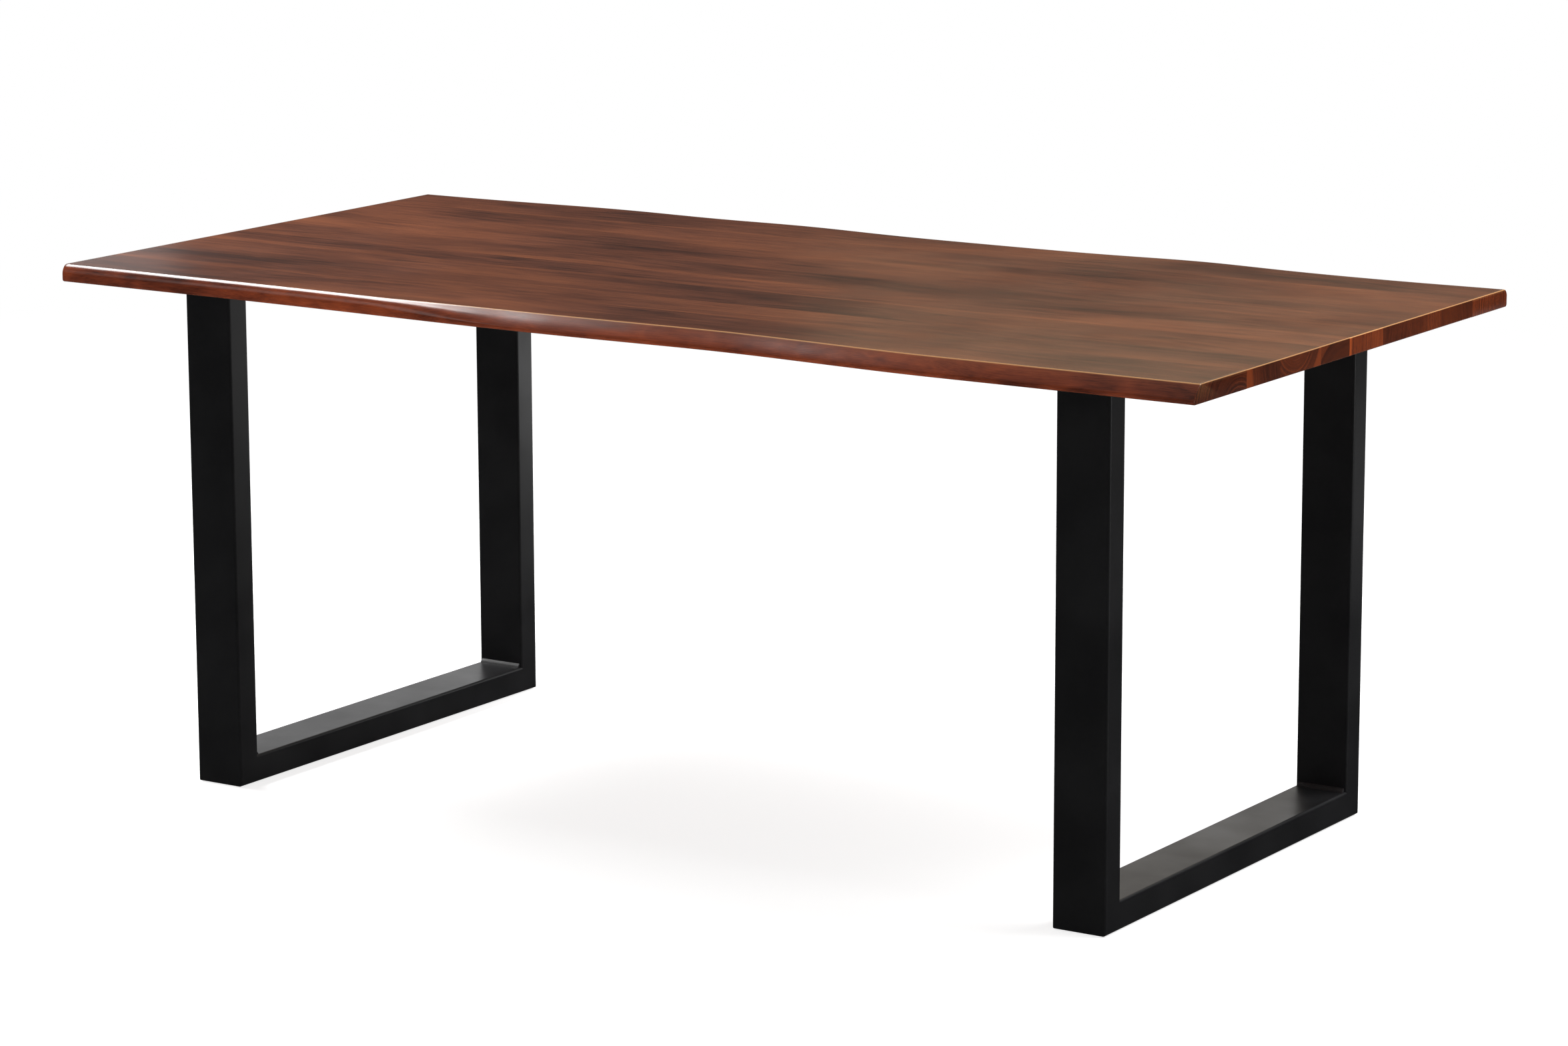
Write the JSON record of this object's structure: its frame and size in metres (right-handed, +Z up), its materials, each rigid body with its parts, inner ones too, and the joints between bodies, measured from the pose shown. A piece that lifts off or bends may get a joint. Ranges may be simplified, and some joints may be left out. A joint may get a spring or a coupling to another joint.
{
  "type": "butcher block table",
  "caption": "Live-edge dining table with an edge-glued stave top bolted to a welded U-shaped rectangular-tube steel leg frame at each end.",
  "frame": {"origin": "on the floor, under the middle of the table top", "axes": "+X along the length of the top and the staves, +Y towards the rear edge, +Z up"},
  "size_m": [1.86, 0.9252, 0.76],
  "materials": {
    "live_edge_wood": "satin lacquer over red-brown stain",
    "stave_wood": "satin lacquer over red-brown stain",
    "powder_coated_steel": "satin black powder coat",
    "coated_weld": "black powder coat over a weld bead",
    "nylon": "moulded nylon",
    "insert_brass": "machined",
    "zinc_steel": "bright zinc plated"
  },
  "bodies": {
    "root": {"front_live_edge_stave": "live_edge_wood", "stave_2": "stave_wood", "stave_3": "stave_wood", "stave_4": "stave_wood", "stave_5": "stave_wood", "stave_6": "stave_wood", "stave_7": "stave_wood", "stave_8": "stave_wood", "rear_live_edge_stave": "live_edge_wood", "left_front_upright": "powder_coated_steel", "left_rear_upright": "powder_coated_steel", "left_foot_bar": "powder_coated_steel", "left_top_plate": "powder_coated_steel", "left_front_corner_weld": "coated_weld", "left_rear_corner_weld": "coated_weld", "left_front_plate_weld": "coated_weld", "left_rear_plate_weld": "coated_weld", "left_floor_glides": "nylon", "left_threaded_inserts": "insert_brass", "left_washers": "zinc_steel", "left_bolts": "zinc_steel", "right_front_upright": "powder_coated_steel", "right_rear_upright": "powder_coated_steel", "right_foot_bar": "powder_coated_steel", "right_top_plate": "powder_coated_steel", "right_front_corner_weld": "coated_weld", "right_rear_corner_weld": "coated_weld", "right_front_plate_weld": "coated_weld", "right_rear_plate_weld": "coated_weld", "right_floor_glides": "nylon", "right_threaded_inserts": "insert_brass", "right_washers": "zinc_steel", "right_bolts": "zinc_steel"}
  },
  "joints": []
}
